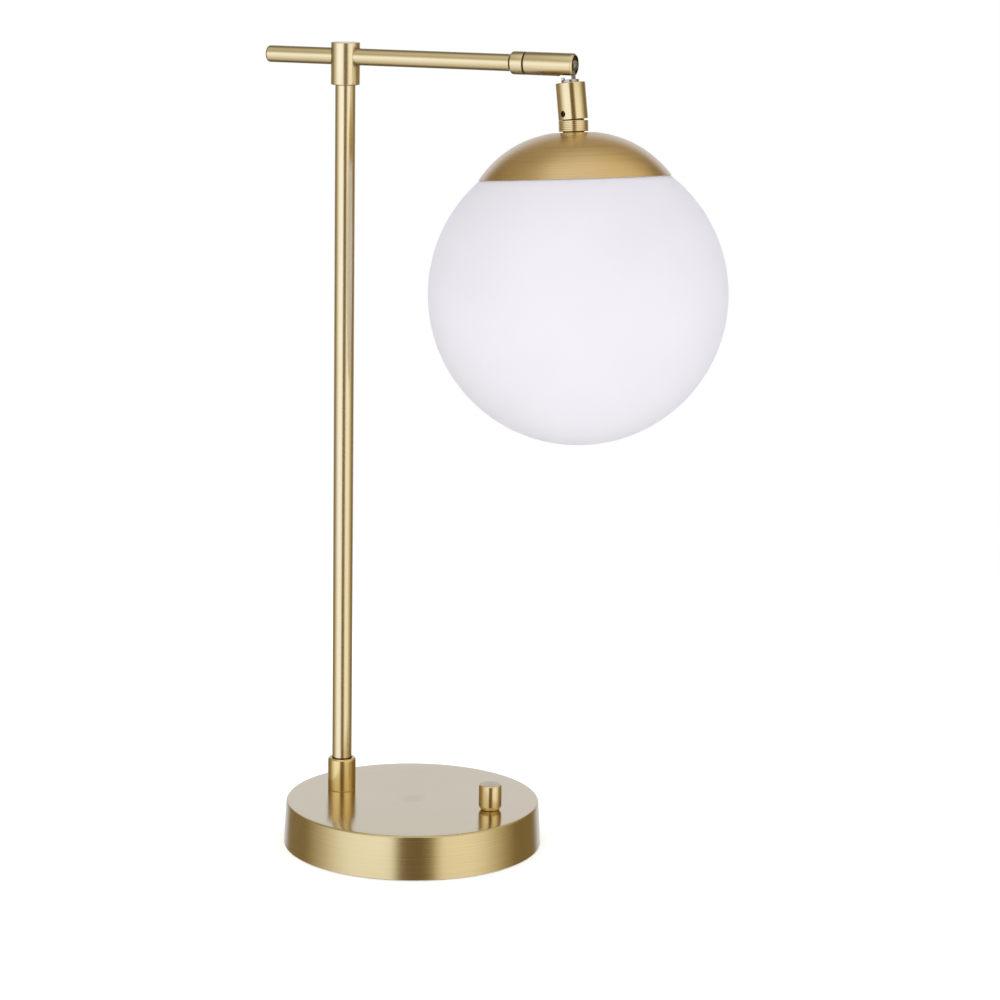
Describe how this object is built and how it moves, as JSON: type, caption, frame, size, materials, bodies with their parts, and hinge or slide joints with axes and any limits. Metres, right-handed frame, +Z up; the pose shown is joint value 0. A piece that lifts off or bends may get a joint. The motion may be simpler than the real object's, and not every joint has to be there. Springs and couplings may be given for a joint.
{
  "type": "globe table lamp",
  "caption": "Desk lamp with a weighted round base, a straight post, a cross arm and a tilting, turning head that hangs an opal glass globe under a shallow metal dome.",
  "frame": {"origin": "centre of the foot pad's underside, on the table", "axes": "+Z up along the post, +X along the arm from the post to the globe, +Y away from the side with the stop screw"},
  "size_m": [0.3355, 0.2, 0.5588],
  "materials": {
    "felt": "dark non-slip felt-faced rubber",
    "plated_steel": "zinc-plated steel",
    "ball_steel": "ground steel, slightly greyed",
    "ballast_iron": "rough cast iron, painted dark",
    "base_brass": "satin antique brass, brushed round the side",
    "post_brass": "satin antique brass, brushed",
    "arm_brass": "satin antique brass, brushed round",
    "knuckle_brass": "satin antique brass, turned",
    "knob_brass": "satin antique brass, turned",
    "dome_brass": "satin antique brass, spun",
    "dark_brass": "dull turned brass",
    "black_plastic": "moulded black nylon",
    "cable_white": "white cable insulation",
    "porcelain": "glazed white porcelain",
    "contact_brass": "bright pressed brass",
    "bulb_clear": "frosted bulb glass",
    "opal_glass": "glossy opal glass"
  },
  "bodies": {
    "stand": {"foot_pad": "felt", "bottom_plate": "plated_steel", "plate_screws": "plated_steel", "ballast": "ballast_iron", "base_cover": "base_brass", "cord_bush": "black_plastic", "supply_cable": "cable_white", "dimmer_body": "black_plastic", "dimmer_nut": "plated_steel", "post_rod": "plated_steel", "post_nut": "plated_steel", "post_insert": "plated_steel", "post_sleeve": "post_brass", "post_tube": "post_brass", "tee_collar": "post_brass", "arm_tube": "arm_brass", "arm_end_plug": "arm_brass", "arm_collar": "arm_brass", "pivot_pin": "plated_steel", "groove_washer": "black_plastic", "spring_washer": "plated_steel", "pin_nut": "plated_steel", "lamp_cable": "cable_white"},
    "knob_set": {"knob": "knob_brass", "dimmer_shaft": "plated_steel"},
    "housing_set": {"swivel_housing": "arm_brass", "back_plug": "dark_brass", "disc_springs": "plated_steel", "rear_seat": "dark_brass", "front_ring": "dark_brass", "housing_cable": "cable_white"},
    "knuckle": {"swivel_ball": "ball_steel", "stem_nut": "plated_steel", "swivel_coupler": "knuckle_brass", "stop_screw": "plated_steel", "stem_cable": "cable_white"},
    "head": {"head_rod": "plated_steel", "upper_washer": "dark_brass", "clamp_ring": "knuckle_brass", "neck_washer": "dark_brass", "dome_cap": "dome_brass", "globe_carrier": "plated_steel", "carrier_nut": "plated_steel", "socket_cap": "dark_brass", "socket_body": "porcelain", "screw_shell": "contact_brass", "centre_contact": "contact_brass", "socket_leads": "cable_white", "bulb_base": "plated_steel", "bulb_glass": "bulb_clear"},
    "globe": {"globe_collar": "plated_steel", "glass_globe": "opal_glass"}
  },
  "joints": [
    {"name": "knob_turn", "type": "hinge", "parent": "stand", "child": "knob_set", "pos_m": [0.0595, 0, 0.031], "axis": [0, 0, -1], "range_deg": [0, 300]},
    {"name": "arm_swivel", "type": "hinge", "parent": "stand", "child": "housing_set", "pos_m": [0.0781, 0, 0.5491], "axis": [1, 0, 0], "range_deg": [-35, 45]},
    {"name": "swivel_tilt", "type": "hinge", "parent": "housing_set", "child": "knuckle", "pos_m": [0.1105, 0, 0.5491], "axis": [0, -0.9984, 0.0569], "range_deg": [-13, 60]},
    {"name": "head_pan", "type": "hinge", "parent": "knuckle", "child": "head", "pos_m": [0.11267, -0.00204, 0.51332], "axis": [-0.0729, 0.0567, 0.9957], "range_deg": [-170, 170]},
    {"name": "globe_twist", "type": "hinge", "parent": "head", "child": "globe", "pos_m": [0.11486, -0.00374, 0.48345], "axis": [-0.0729, 0.0567, 0.9957], "range_deg": [0, 24]}
  ]
}
